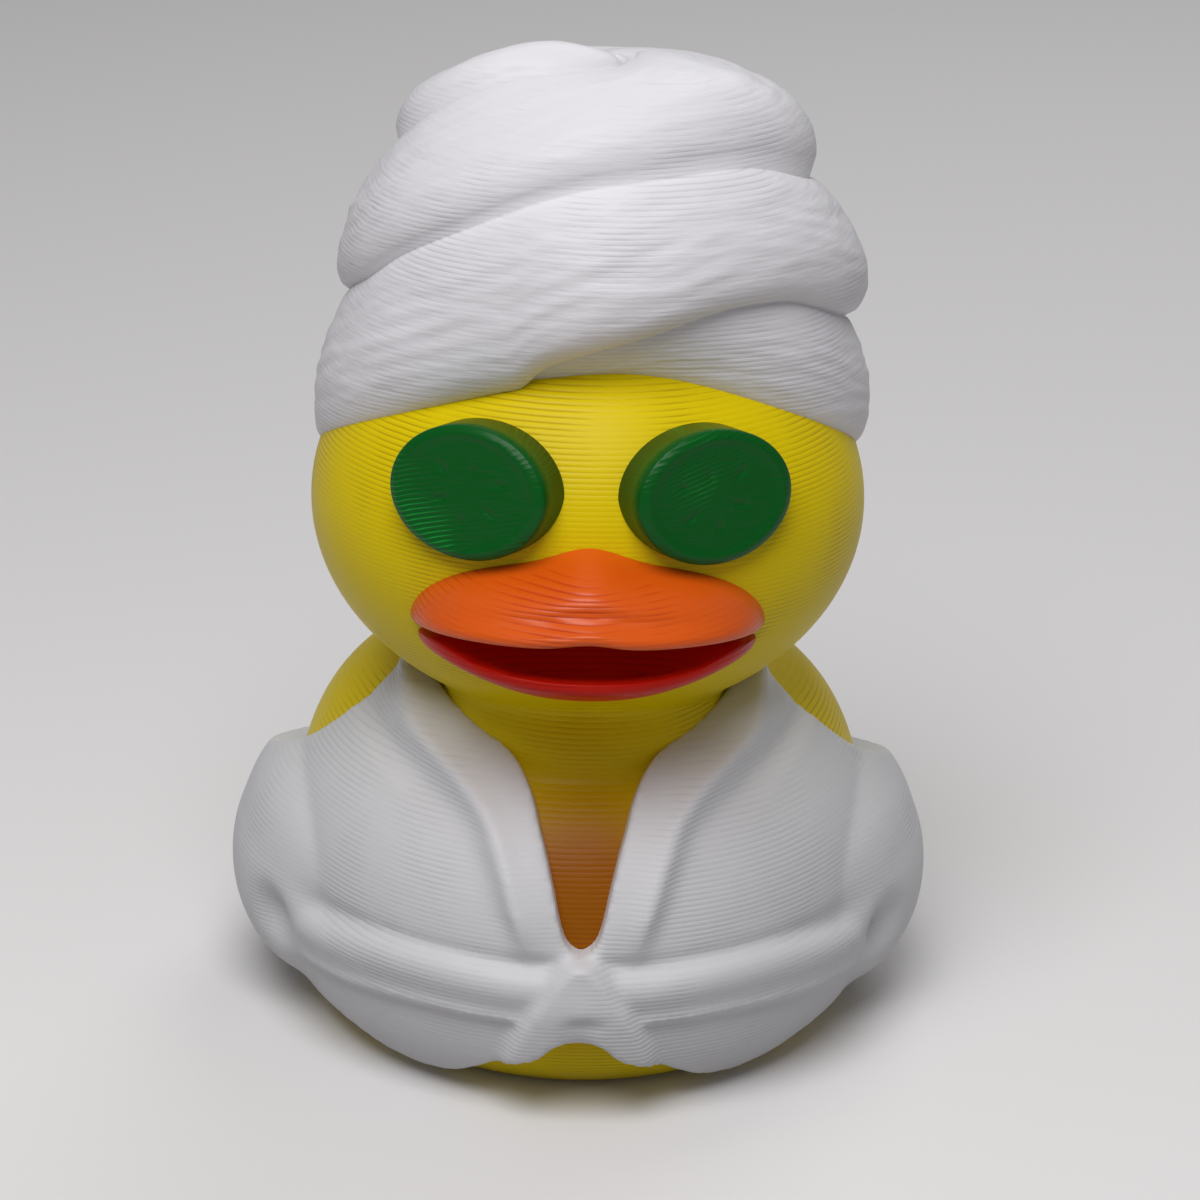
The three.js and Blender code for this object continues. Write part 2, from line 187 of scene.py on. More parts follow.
def printedPlastic(name, look):
    material = bpy.data.materials.new(name)
    material.use_nodes = True
    nodes, links = material.node_tree.nodes, material.node_tree.links
    shader = nodes["Principled BSDF"]
    shader.inputs["Roughness"].default_value = look["roughness"]
    shader.inputs["Specular IOR Level"].default_value = look["shine"]
    shader.inputs["Subsurface Weight"].default_value = look["glow"]
    shader.inputs["Subsurface Radius"].default_value = look["glowReach"]
    shader.inputs["Subsurface Scale"].default_value = layerLines["glowDepth"] * mm
    place = nodes.new("ShaderNodeTexCoord").outputs["Object"]

    def reckon(operation, a, b=0.0, clamp=False):
        node = nodes.new("ShaderNodeMath")
        node.operation = operation
        node.use_clamp = clamp
        for socket, value in zip(node.inputs, (a, b)):
            if isinstance(value, (int, float)):
                socket.default_value = value
            else:
                links.new(value, socket)
        return node.outputs[0]

    def cloudy(scale, detail, vector=place):
        cloud = nodes.new("ShaderNodeTexNoise")
        cloud.inputs["Scale"].default_value = scale
        cloud.inputs["Detail"].default_value = detail
        links.new(vector, cloud.inputs["Vector"])
        return cloud.outputs["Fac"]

    flat = nodes.new("ShaderNodeMapping")  # squeezed in height, so that its clouds lie along the layers
    flat.inputs["Rotation"].default_value = (0, look["slant"], 0)
    flat.inputs["Scale"].default_value = (1, 1, layerLines["streak"])
    links.new(place, flat.inputs["Vector"])
    split = nodes.new("ShaderNodeSeparateXYZ")
    links.new(place, split.inputs[0])
    pitch = layerLines["pitch"] * mm
    wander = reckon("MULTIPLY", cloudy(layerLines["waverClouds"], 2), layerLines["waver"])
    tilt = reckon("MULTIPLY", split.outputs["X"], math.tan(look["slant"]))
    level = reckon("ADD", split.outputs["Z"], tilt)
    turns = reckon("ADD", reckon("MULTIPLY", level, math.pi / pitch), wander)
    ridge = reckon("ABSOLUTE", reckon("SINE", turns))
    bare = reckon("SUBTRACT", cloudy(layerLines["wornClouds"], 4), layerLines["wornFrom"])
    worn = reckon("MULTIPLY", bare, layerLines["wornEdge"], clamp=True)
    patch = reckon("ADD", reckon("MULTIPLY", worn, 1 - look["evenLines"]), look["evenLines"])
    groove = reckon("MULTIPLY", reckon("SUBTRACT", 1, ridge), patch)
    streaks = reckon("MULTIPLY", cloudy(layerLines["streakClouds"], 3, flat.outputs[0]), look["streaks"])
    uneven = reckon("MULTIPLY", cloudy(layerLines["unevenClouds"], 3), look["uneven"])
    relief = reckon("SUBTRACT", reckon("ADD", streaks, uneven), reckon("MULTIPLY", groove, look["lines"]))
    bump = nodes.new("ShaderNodeBump")
    bump.inputs["Strength"].default_value = 1
    bump.inputs["Distance"].default_value = layerLines["depth"] * mm
    links.new(relief, bump.inputs["Height"])
    links.new(bump.outputs[0], shader.inputs["Normal"])
    ramp = nodes.new("ShaderNodeValToRGB")
    ramp.color_ramp.elements[0].position = layerLines["grooveFrom"]
    ramp.color_ramp.elements[0].color = srgb(*look["colour"])
    ramp.color_ramp.elements[1].position = 1
    ramp.color_ramp.elements[1].color = srgb(*look["groove"])
    links.new(groove, ramp.inputs[0])
    colour = ramp.outputs[0]
    if "paintedChestShade" in look:  # painted shade: a darker orange-brown on the chest under the bill, where the head's shadow falls
        tone = look["paintedChestShade"]
        reach = nodes.new("ShaderNodeVectorMath")
        reach.operation = "DISTANCE"
        reach.inputs[1].default_value = Vector(tone["spot"]) * mm
        links.new(place, reach.inputs[0])
        near = nodes.new("ShaderNodeMapRange")
        near.interpolation_type = "SMOOTHSTEP"
        near.inputs["From Min"].default_value = tone["reach"] * mm
        near.inputs["From Max"].default_value = tone["core"] * mm
        links.new(reach.outputs["Value"], near.inputs["Value"])
        chestShadeMix = nodes.new("ShaderNodeMix")
        chestShadeMix.data_type = "RGBA"
        chestShadeMix.inputs["B"].default_value = srgb(*tone["colour"])
        links.new(near.outputs[0], chestShadeMix.inputs["Factor"])
        links.new(colour, chestShadeMix.inputs["A"])
        colour = chestShadeMix.outputs["Result"]
    links.new(colour, shader.inputs["Base Color"])
    return material


# Camera, fitted to the photograph's angle
cameraView = {
    "target": (0.86, -2, 25.5),
    "elevation": 20,
    "azimuth": -1,
    "distance": 260,
    "roll": 1.4,
    "fieldOfView": 0.2663,
}


def placeCamera(look):
    az, el = math.radians(look["azimuth"]), math.radians(look["elevation"])
    target = Vector(look["target"]) * mm
    away = Vector((math.sin(az) * math.cos(el), -math.cos(az) * math.cos(el), math.sin(el)))
    spot = target + away * look["distance"] * mm
    ahead = -away
    right = ahead.cross(Vector((0, 0, 1))).normalized()
    up = right.cross(ahead)
    c, s = math.cos(math.radians(look["roll"])), math.sin(math.radians(look["roll"]))
    axes = Matrix((right * c + up * s, up * c - right * s, away)).transposed().to_4x4()
    camera = bpy.data.objects.new("camera", bpy.data.cameras.new("camera"))
    camera.data.lens_unit = "FOV"
    camera.data.angle = look["fieldOfView"]
    camera.data.clip_start = 0.01
    camera.matrix_world = Matrix.Translation(spot) @ axes
    bpy.context.scene.collection.objects.link(camera)
    bpy.context.scene.camera = camera


placeCamera(cameraView)
print("camera placed")

# Studio: a pale floor, a broad lamp high in front, a weak one behind, a dim sky
studio = {
    "floor": (238, 236, 236),
    "floorBounce": (176, 174, 174),
    "floorReach": 1500,
    "floorRoughness": 0.75,
    "sky": (240, 240, 242),
    "skyLevel": 0.24,
    "skySeen": 0.6,
    "aim": (0, 0, 25),
    "lamps": [
        {"name": "overheadLamp", "spot": (-40, -185, 310), "size": 240, "power": 0.86},
        {"name": "rearLamp", "spot": (120, 260, 300), "size": 240, "power": 0.26},
    ],
}


def makeStudio(look):
    bm = bmesh.new()
    bmesh.ops.create_circle(bm, cap_ends=True, segments=64, radius=look["floorReach"] * mm)
    mesh = bpy.data.meshes.new("floor")
    bm.to_mesh(mesh)
    bm.free()
    floor = bpy.data.objects.new("floor", mesh)
    bpy.context.scene.collection.objects.link(floor)
    paint = bpy.data.materials.new("paleTable")
    paint.use_nodes = True
    nodes, links = paint.node_tree.nodes, paint.node_tree.links
    shader = nodes["Principled BSDF"]
    shader.inputs["Roughness"].default_value = look["floorRoughness"]
    rays = nodes.new("ShaderNodeLightPath")
    blend = nodes.new("ShaderNodeMix")  # seen pale, but it throws less light back
    blend.data_type = "RGBA"
    blend.inputs["A"].default_value = srgb(*look["floorBounce"])
    blend.inputs["B"].default_value = srgb(*look["floor"])
    seen = nodes.new("ShaderNodeMath")
    seen.operation = "MAXIMUM"
    links.new(rays.outputs["Is Camera Ray"], seen.inputs[0])
    links.new(rays.outputs["Is Glossy Ray"], seen.inputs[1])
    links.new(seen.outputs[0], blend.inputs["Factor"])
    links.new(blend.outputs["Result"], shader.inputs["Base Color"])
    mesh.materials.append(paint)
    world = bpy.data.worlds.new("studio")
    world.use_nodes = True
    nodes, links = world.node_tree.nodes, world.node_tree.links
    sky = nodes["Background"]
    sky.inputs["Color"].default_value = srgb(*look["sky"])
    rays = nodes.new("ShaderNodeLightPath")
    level = nodes.new("ShaderNodeMapRange")  # pale where the camera sees it, dim as a light
    level.inputs["To Min"].default_value = look["skyLevel"]
    level.inputs["To Max"].default_value = look["skySeen"]
    links.new(rays.outputs["Is Camera Ray"], level.inputs["Value"])
    links.new(level.outputs[0], sky.inputs["Strength"])
    bpy.context.scene.world = world
    for lamp in look["lamps"]:
        light = bpy.data.lights.new(lamp["name"], "AREA")
        light.shape = "DISK"
        light.size = lamp["size"] * mm
        light.energy = lamp["power"]
        spot = Vector(lamp["spot"]) * mm
        holder = bpy.data.objects.new(lamp["name"], light)
        aim = (Vector(look["aim"]) * mm - spot).to_track_quat("-Z", "Y")
        holder.matrix_world = Matrix.Translation(spot) @ aim.to_matrix().to_4x4()
        bpy.context.scene.collection.objects.link(holder)


makeStudio(studio)
bpy.context.scene.view_settings.view_transform = "Standard"
print("studio made")

# Body of the duck: torso with a squarer underside, tail, neck and head
body = {
    "torsoCentre": (0, 2.5, 10),
    "torsoSide": 17,
    "torsoFront": 20,
    "torsoBack": 19,
    "torsoTop": 12.9,
    "torsoBottom": 11.5,
    "torsoSquareness": 3.6,
    "shoulderSquareness": (2.1, 2.6),
    "tailReach": 6.5,
    "tailElevation": 0.66,
    "tailSpread": 0.34,
    "headCentre": (0, -3, 32.3),
    "headSide": 15.85,
    "headDepth": 14,
    "headHeight": 12.6,
    "neckCentre": (0, -4, 19.5),
    "neckSide": 8.4,
    "neckDepth": 8.8,
    "neckHeight": 6,
    "grain": 0.34,
    "softening": 14,
    "faces": (160, 100),
    "neckFaces": (64, 32),
}


def ontoTorso(p, grow, squareness, above=(2, 2)):
    depth = body["torsoFront"] if p.y < 0 else body["torsoBack"]
    height = body["torsoBottom"] if p.z < 0 else body["torsoTop"]
    corner = easeStep(-0.3, 0.3, p.y) * easeStep(0.25, 0.65, abs(p.x))  # full at the back of each side
    power = squareness if p.z < 0 else mix(*above, corner)
    flat = math.hypot(p.x, p.y)
    stretch = (flat**power + abs(p.z) ** power) ** (-1 / power)
    cosTail, sinTail = math.cos(body["tailElevation"]), math.sin(body["tailElevation"])
    angle = math.acos(min(max(p.y * cosTail + p.z * sinTail, -1), 1))
    tail = body["tailReach"] * bell(angle, body["tailSpread"])
    x, y, z = body["torsoCentre"]
    return (
        x + p.x * stretch * (body["torsoSide"] + grow),
        y + p.y * stretch * (depth + grow) + tail * cosTail,
        z + p.z * stretch * (height + grow) + tail * sinTail,
    )


def ovalAt(centre, side, depth, height):
    return lambda p: (centre[0] + p.x * side, centre[1] + p.y * depth, centre[2] + p.z * height)


def duckShapes(grow, columns, rows):
    shape = body["torsoSquareness"], body["shoulderSquareness"]
    torso = roundBall(columns, rows, lambda p: ontoTorso(p, grow, *shape))
    headSizes = [body[k] + grow for k in ("headSide", "headDepth", "headHeight")]
    head = roundBall(columns, rows, ovalAt(body["headCentre"], *headSizes))
    neckSizes = [body[k] + grow for k in ("neckSide", "neckDepth", "neckHeight")]
    neck = roundBall(*body["neckFaces"], ovalAt(body["neckCentre"], *neckSizes))
    return torso, head, neck


def makeBody():
    piece = asObject("duckBody", *duckShapes(0, *body["faces"]))
    fuse(piece, body["grain"], body["softening"])
    bm = bmesh.new()
    bm.from_mesh(piece.data)
    everything = bm.verts[:] + bm.edges[:] + bm.faces[:]
    bmesh.ops.bisect_plane(bm, geom=everything, plane_co=(0, 0, 0), plane_no=(0, 0, -1), clear_outer=True)
    rim = [edge for edge in bm.edges if edge.is_boundary]
    bmesh.ops.edgeloop_fill(bm, edges=rim)
    tidied(bm)
    bm.to_mesh(piece.data)
    bm.free()
    return piece


bodyPiece = makeBody()

# Robe: a thick coat over the torso with turned-back lapels, sleeves, belt and knot
robe = {
    "thickness": 1.25,
    "squareness": 3.2,
    "sleeveSpot": (14.75, 1.5, 8),
    "sleeveSize": (6, 10.8, 6.9),
    "sleeveTurn": 0.08,
    "sleeveBlend": (0.5, 3.6),
    "cuffHollow": {"azimuth": 1.17, "elevation": -0.21, "depth": 1.5, "size": (0.07, 0.11)},
    "lapelRise": 0.85,
    "beltRise": 0.85,
    "beltReach": 1.02,
    "knotRise": 1.3,
    "knotSoftness": 0.06,
    "knotCrown": 0.16,
    "partingDepth": 0.35,  # between the knot's two ends
    # where the knot is drawn in, as (azimuth, elevation, depth)
    "dimple": (0.01, -0.235, 0.4),
    "grain": 0.25,
    "softening": 2,
    "faces": (480, 300),
    "innerFaces": (120, 80),
    "innerGap": 0.5,
    "farOut": 40,
    # half the neck opening at each height, as (elevation, half angle)
    "openingEdge": [
        (0.02, 0.01), (0.07, 0.05), (0.31, 0.1), (0.48, 0.145), (0.69, 0.235),
        (0.81, 0.39), (0.94, 0.87), (1.02, 1.3), (1.1, 1.75), (1.35, 1.9),
    ],
    "lapelRidge": [
        (-0.06, 0.16), (0.11, 0.185), (0.2, 0.21), (0.37, 0.27), (0.53, 0.36),
        (0.66, 0.55), (0.78, 0.87), (0.86, 1), (0.93, 1.2), (1.05, 1.7),
    ],
    # rise across the lapel, from the opening over the ridge to the hollow beside it
    "lapelSection": [
        (0, 0.1), (0.3, 0.3), (0.55, 0.5), (0.75, 0.78), (0.9, 1), (1.04, 0.94),
        (1.22, 0.5), (1.45, 0.08), (1.75, -0.14), (2.2, -0.12), (2.9, 0),
    ],
    "beltTop": [
        (0, -0.02), (0.17, -0.04), (0.3, -0.03), (0.45, -0.02),
        (0.67, -0.03), (0.97, -0.09), (1.3, -0.12), (3.2, -0.05),
    ],
    "beltBottom": [
        (0, -0.28), (0.4, -0.275), (0.6, -0.285), (0.85, -0.32), (1.3, -0.36), (3.2, -0.32),
    ],
    "beltSection": [
        (-0.7, 0), (-0.35, -0.14), (-0.12, -0.26), (0, 0), (0.1, 0.6), (0.24, 0.95),
        (0.42, 1), (0.62, 0.78), (0.82, 0.58), (0.93, 0.72), (1, 0.55), (1.1, 0.05), (1.3, 0),
    ],
    "knotWidth": [
        (-0.6, 0.29), (-0.44, 0.26), (-0.31, 0.22), (-0.2, 0.18),
        (-0.13, 0.145), (-0.06, 0.115), (0.015, 0.06),
    ],
    # the hem's height above the table round the skirt, as (angle, height)
    "hem": [
        (0, 5.25), (0.06, 5.2), (0.085, 4.85), (0.12, 4.15), (0.17, 3.75), (0.25, 3.2), (0.34, 2.3),
        (0.45, 1.35), (0.6, 0.95), (0.77, 1.2), (0.95, 1.9), (1.2, 2.1), (1.6, 1.9), (2.2, 2.3), (3.2, 2.6),
    ],
    "shoulderCut": 1.8,
    "backHalfSpan": 30,
    # the robe's upper edge at the back, as (y, height)
    "backLine": [
        (-1.5, 19.7), (-1.29, 18.3), (-0.3, 16.6), (2.8, 14.6), (6.8, 13.25),
        (11, 12.2), (16, 11.45), (20.75, 11), (40, 10.65),
    ],
}


def fromAngles(azimuth, elevation):
    flat = math.cos(elevation)
    return Vector((math.sin(azimuth) * flat, -math.cos(azimuth) * flat, math.sin(elevation)))


def onRobe(azimuth, elevation, rise):
    return ontoTorso(fromAngles(azimuth, elevation), robe["thickness"] + rise, robe["squareness"])


def lapelRiseAt(away, elevation):
    low, high = robe["lapelRidge"][0][0], robe["lapelRidge"][-1][0]
    if not low < elevation < high:
        return 0
    inner = through(robe["openingEdge"], elevation)
    outer = through(robe["lapelRidge"], elevation)
    share = (away - inner) / max(outer - inner, 0.05)
    hollow = mix(0.4, 2.4, easeStep(0.35, 0.75, elevation))  # deeper beside the collar
    rise = through(robe["lapelSection"], share)
    fade = easeStep(low, 0.2, elevation) * (1 - easeStep(0.92, 1.12, elevation))
    return robe["lapelRise"] * fade * (rise if rise > 0 else rise * hollow)


def beltRiseAt(away, elevation):
    top = through(robe["beltTop"], away)
    bottom = through(robe["beltBottom"], away)
    fade = 1 - easeStep(robe["beltReach"], robe["beltReach"] + 0.12, away) * (1 - easeStep(1.5, 1.8, away))
    return robe["beltRise"] * fade * through(robe["beltSection"], (elevation - top) / (bottom - top))


def knotRiseAt(azimuth, elevation):
    if elevation > robe["knotWidth"][-1][0]:
        return 0
    away = abs(azimuth)
    half = through(robe["knotWidth"], elevation)
    tent = easeStep(-0.01, robe["knotSoftness"], half - away)
    parting = robe["partingDepth"] * bell(away, 0.05) * easeStep(-0.2, -0.33, elevation)
    height = mix(0.75, 1, easeStep(-0.5, -0.15, elevation)) - parting
    height += robe["knotCrown"] * bell(away, 0.1) * bell(elevation + 0.19, 0.1)
    across, down, depth = robe["dimple"]
    height -= depth * bell(azimuth - across, 0.045) * bell(elevation - down, 0.03)
    return robe["knotRise"] * tent * height


def armReach(ray, side):  # how far the sleeve's oval reaches along a ray from the torso's middle
    x, y, z = robe["sleeveSpot"]
    turn = Matrix.Rotation(side * robe["sleeveTurn"], 3, "Z")
    start = turn @ (Vector(body["torsoCentre"]) - Vector((side * x, y, z)))
    way = turn @ ray
    size = robe["sleeveSize"]
    start = Vector([start[k] / size[k] for k in range(3)])
    way = Vector([way[k] / size[k] for k in range(3)])
    square, slant = way.dot(way), way.dot(start)
    inside = slant * slant - square * (start.dot(start) - 1)
    root = math.sqrt(inside) if inside > 0 else -2.5 * math.sqrt(-inside)
    return (root - slant) / square


def softMax(a, b, width):  # the larger of two, with a rounded crossing
    near = max(width - abs(a - b), 0) / width
    return max(a, b) + near * near * width / 4


def coatPoint(p):
    azimuth = math.atan2(p.x, -p.y)
    away = abs(azimuth)
    elevation = math.asin(min(max(p.z, -1), 1))
    knot = knotRiseAt(azimuth, elevation)
    belt = beltRiseAt(away, elevation)
    lapel = lapelRiseAt(away, elevation)
    rise = lapel if elevation > 0.04 else mix(belt, lapel, easeStep(-0.02, 0.04, elevation))
    rise = max(rise, knot) if knot > 0.02 else rise
    centre = Vector(body["torsoCentre"])
    ray = Vector(ontoTorso(p, robe["thickness"] + rise, robe["squareness"])) - centre
    reach = ray.length
    ray.normalize()
    blend = mix(*robe["sleeveBlend"], easeStep(-0.15, 0.25, elevation))
    reach = softMax(reach, armReach(ray, 1 if p.x > 0 else -1), blend)
    hollow = robe["cuffHollow"]
    wide, tall = hollow["size"]
    depth = bell(away - hollow["azimuth"], wide) * bell(elevation - hollow["elevation"], tall)
    return centre + ray * (reach - hollow["depth"] * depth)


def belowHem():
    bm = bmesh.new()
    far = robe["farOut"]
    bmesh.ops.create_cone(bm, cap_ends=True, segments=480, radius1=far, radius2=far, depth=2)
    top = [face for face in bm.faces if len(face.verts) > 4 and face.calc_center_median().z > 0.5]
    bmesh.ops.inset_region(bm, faces=top, thickness=0.75 * far)

    def place(p):
        height = through(robe["hem"], abs(math.atan2(p.x, -p.y)))
        return (p.x, p.y, height if p.z > 0.5 else -12)

    movePoints(bm, place)
    return bm


def neckOpening():
    low, high = robe["openingEdge"][0][0], robe["openingEdge"][-1][0]

    def place(p):
        elevation = mix(low, high, (p.z + 1) / 2)
        half = through(robe["openingEdge"], elevation)
        return onRobe(p.x * half, elevation, mix(-robe["thickness"] - 3, 6, (p.y + 1) / 2))

    return fineBlock(63, place)


def bareBack():
    half, far = robe["backHalfSpan"], robe["farOut"]

    def place(p):
        along = (p.y + 1) / 2
        y = mix(robe["backLine"][0][0], far, along * along)
        low = through(robe["backLine"], y)
        y -= robe["shoulderCut"] * easeStep(11, 14.5, abs(p.x) * half) * (1 - along) ** 4
        return (p.x * half, y, mix(low, far, (p.z + 1) / 2))

    return fineBlock(63, place)


def makeRobe():
    piece = asObject("bathRobe", roundBall(*robe["faces"], coatPoint))
    inner = duckShapes(-robe["innerGap"], *robe["innerFaces"])
    for shape in (bareBack(), neckOpening(), belowHem(), *inner):
        cutAway(piece, asObject("cutter", shape))
    fuse(piece, robe["grain"], robe["softening"])
    return piece


robePiece = makeRobe()

# Towel: one long roll that climbs round the head and closes in a swirl
towel = {
    "edgeFront": 0.76,
    "edgeBack": -0.01,
    "edgePeak": 0.02,
    "arch": 1.8,
    "sideLift": 0.08,
    "lean": 0.08,
    "foldStart": -0.055,
    "foldEnd": 2.195,
    # the fold line as (turns, height, radius), the last two as shares of the head
    "foldLine": [
        (-0.035, 0.817, 0.732), (0, 0.91, 0.77), (0.022, 0.952, 0.782), (0.046, 1, 0.795),
        (0.069, 1.048, 0.808), (0.093, 1.079, 0.82), (0.119, 1.087, 0.839), (0.149, 1.063, 0.858),
        (0.215, 0.913, 0.896), (0.3, 0.786, 0.909), (0.5, 0.706, 0.896), (0.7, 0.841, 0.877),
        (0.8, 1.048, 0.845), (0.854, 1.246, 0.826), (0.902, 1.397, 0.808), (0.95, 1.536, 0.782),
        (0.985, 1.603, 0.763), (1.02, 1.639, 0.751), (1.09, 1.667, 0.732), (1.14, 1.639, 0.732),
        (1.215, 1.516, 0.757), (1.3, 1.429, 0.757), (1.5, 1.357, 0.726), (1.7, 1.5, 0.7),
        (1.78, 1.659, 0.681), (1.826, 1.817, 0.618), (1.86, 1.913, 0.543), (1.9, 1.976, 0.442),
        (2, 1.992, 0.29), (2.195, 1.952, 0),
    ],
    # how far the roll stands out, as (turns, share of its height)
    "rollSwell": [
        (-1.03, 0.1), (-0.75, 0.17), (-0.5, 0.19), (-0.25, 0.13), (0, 0.26), (0.25, 0.24),
        (0.5, 0.2), (0.75, 0.17), (1, 0.27), (1.1, 0.31), (1.25, 0.28), (1.75, 0.25), (2.25, 0.25),
    ],
    "roundness": 0.62,
    "sag": 0.72,
    "unevenness": 0.05,
    # fine ridges in the pile, along the roll
    "pile": {"height": 0.014, "along": 26, "across": 11},
    "columnsPerTurn": 260,
    "rows": 54,
}


def towelEdge(turn):
    front = (1 + math.cos((turn - towel["edgePeak"]) * 2 * math.pi)) / 2
    share = towel["edgeBack"] + (towel["edgeFront"] - towel["edgeBack"]) * front ** towel["arch"]
    share += towel["sideLift"] * bell((turn + 0.7) % 1 - 0.5, 0.13)
    height = body["headCentre"][2] + share * body["headHeight"]
    return height, body["headSide"] * math.sqrt(1 - share**2) * 0.97


def wholeFoldLine():
    height, radius = towelEdge(towel["foldStart"])
    share = (height - body["headCentre"][2]) / body["headHeight"]
    return [(towel["foldStart"], share, radius / body["headSide"])] + towel["foldLine"]


foldTable = wholeFoldLine()


def foldAt(turn):
    if turn <= towel["foldStart"]:
        return towelEdge(turn)
    height = body["headCentre"][2] + body["headHeight"] * through(foldTable, turn, 1)
    return height, body["headSide"] * max(through(foldTable, turn, 2), 0)


def towelPoint(turn, share):
    lowHeight, lowRadius = foldAt(turn)
    highHeight, highRadius = foldAt(min(turn + 1, towel["foldEnd"]))
    section = max(math.sin(math.pi * share ** towel["sag"]), 0) ** towel["roundness"]
    swell = through(towel["rollSwell"], turn) * section
    swell *= 1 + towel["unevenness"] * 2 * noise.noise(Vector((turn * 7, share * 2.5, 3)))
    pile = towel["pile"]
    ridges = noise.noise(Vector((turn * pile["along"], share * pile["across"], 8)))
    room = easeStep(2, 11, mix(lowRadius, highRadius, share))  # calmer towards the swirl
    swell += pile["height"] * room * ridges * math.sin(math.pi * min(max(share, 0), 1))
    out = mix(lowRadius, highRadius, share) + (highHeight - lowHeight) * swell
    up = mix(lowHeight, highHeight, share) - (highRadius - lowRadius) * swell
    angle = turn * 2 * math.pi
    lean = towel["lean"] * (up - body["headCentre"][2])
    depthShare = body["headDepth"] / body["headSide"]
    y = body["headCentre"][1] + lean - out * depthShare * math.cos(angle)
    return out * math.sin(angle), y, up


def makeTowel():
    first = towel["foldStart"] - 1
    turns = towel["foldEnd"] - first
    bm = bmesh.new()
    columns = round(turns * towel["columnsPerTurn"])
    bmesh.ops.create_grid(bm, x_segments=columns, y_segments=towel["rows"], size=1)
    movePoints(bm, lambda p: towelPoint(first + turns * (p.x + 1) / 2, (p.y + 1) / 2))
    bmesh.ops.remove_doubles(bm, verts=bm.verts[:], dist=2e-6)
    rim = [edge for edge in bm.edges if edge.is_boundary]
    inner = bmesh.ops.extrude_edge_only(bm, edges=rim)["geom"]
    height = body["headCentre"][2] + towel["edgeBack"] * body["headHeight"]
    middle = Vector((0, body["headCentre"][1], height)) * mm
    for vert in inner:
        if isinstance(vert, bmesh.types.BMVert):
            vert.co = middle
    return asObject("towelTurban", bm)


towelPiece = makeTowel()

# Cucumber slices: bevelled discs with a slightly raised rind and small sunken seeds
slices = {
    "width": 9.45,
    "height": 7.45,
    "thickness": 2.6,
    "bevel": 0.45,
    "turn": 0.47,
    "tilt": 0.12,
    "across": 6.85,
    "up": 36.7,
    "out": 16.3,
    "rindRise": 0.1,
    "seedDepth": 0.14,
    "seedHalfWidth": 0.05,
    # each seed as (angle, distance from the middle, half length)
    "seeds": [
        (0.4, 0.36, 0.09), (1.5, 0.45, 0.07), (2.5, 0.4, 0.1),
        (3.6, 0.47, 0.08), (4.5, 0.34, 0.09), (5.5, 0.46, 0.08),
    ],
    "rings": 16,
}


def faceRelief(x, z):  # x and z run from -1 to 1 across the slice
    away = math.hypot(x, z)
    relief = slices["rindRise"] * easeStep(0.78, 0.84, away)
    for angle, distance, length in slices["seeds"]:
        along = x * math.cos(angle) - z * math.sin(angle)
        aside = x * math.sin(angle) + z * math.cos(angle)
        seed = bell(along - distance, length) * bell(aside, slices["seedHalfWidth"])
        relief -= slices["seedDepth"] * seed
    return relief


def makeSlice(name, side):
    bm = bmesh.new()
    bmesh.ops.create_circle(bm, cap_ends=True, segments=120, radius=1)
    grown = bmesh.ops.extrude_face_region(bm, geom=bm.faces[:])["geom"]
    face = [item for item in grown if isinstance(item, bmesh.types.BMFace)]
    verts = [item for item in grown if isinstance(item, bmesh.types.BMVert)]
    bmesh.ops.translate(bm, verts=verts, vec=(0, 0, 1))
    share = 2 * slices["bevel"] / slices["width"]
    rim = list(face[0].edges)
    bmesh.ops.bevel(bm, geom=rim, offset=share, affect="EDGES", segments=4, profile=0.5, material=-1)
    top = max(bm.faces, key=lambda item: item.calc_center_median().z)
    for ring in range(slices["rings"]):
        left = (1 - share) * (1 - (ring + 1) / (slices["rings"] + 1))
        size = max(vert.co.xy.length for vert in top.verts)
        bmesh.ops.inset_region(bm, faces=[top], thickness=(size - left), use_even_offset=False)
        top = max(bm.faces, key=lambda item: (round(item.calc_center_median().z, 5), len(item.verts)))
    bmesh.ops.poke(bm, faces=[top])
    place = Matrix.Translation((side * slices["across"], -slices["out"], slices["up"]))
    place @= Matrix.Rotation(side * slices["turn"], 4, "Z") @ Matrix.Rotation(-slices["tilt"], 4, "X")

    def onFace(p):
        depth = (1 - p.z) * slices["thickness"]
        if p.z > 0.999:
            depth = -faceRelief(p.x * side, p.y)
        return place @ Vector((p.x * slices["width"] / 2, depth, p.y * slices["height"] / 2))

    movePoints(bm, onFace)
    return asObject(name, bm)


sliceLeft = makeSlice("cucumberSliceLeft", -1)
sliceRight = makeSlice("cucumberSliceRight", 1)

# Bill: a broad cap with a flared lip over a shallow scoop
bill = {
    "root": -12.4,
    "halfWidth": 9.85,
    "reach": 9.6,
    "lipHeight": 30.35,
    "cornerDrop": 1.75,
    "bumpRise": 4.05,
    "lipThickness": 1.1,
    "wave": 0.3,
    "waveWidth": 0.18,
    "ridgeWidth": 0.24,
    "shoulder": 0.8,
    "creaseDepth": 0.08,
    "scoopHalfWidth": 9.4,
    "scoopReach": 8,
    "scoopGape": 4.1,
    "scoopThickness": 1.75,
    "scoopRim": 1.4,
    "scoopSoftness": 0.4,
    "scoopCorner": 0.85,
    "scoopBowl": 2.4,
    "scoopGap": 0.1,
    "faces": (256, 128),
}


def billRim(x):
    front = math.sqrt(max(1 - x * x, 0))
    return bill["lipHeight"] - bill["cornerDrop"] * (1 - front) + bill["wave"] * bell(x, bill["waveWidth"])


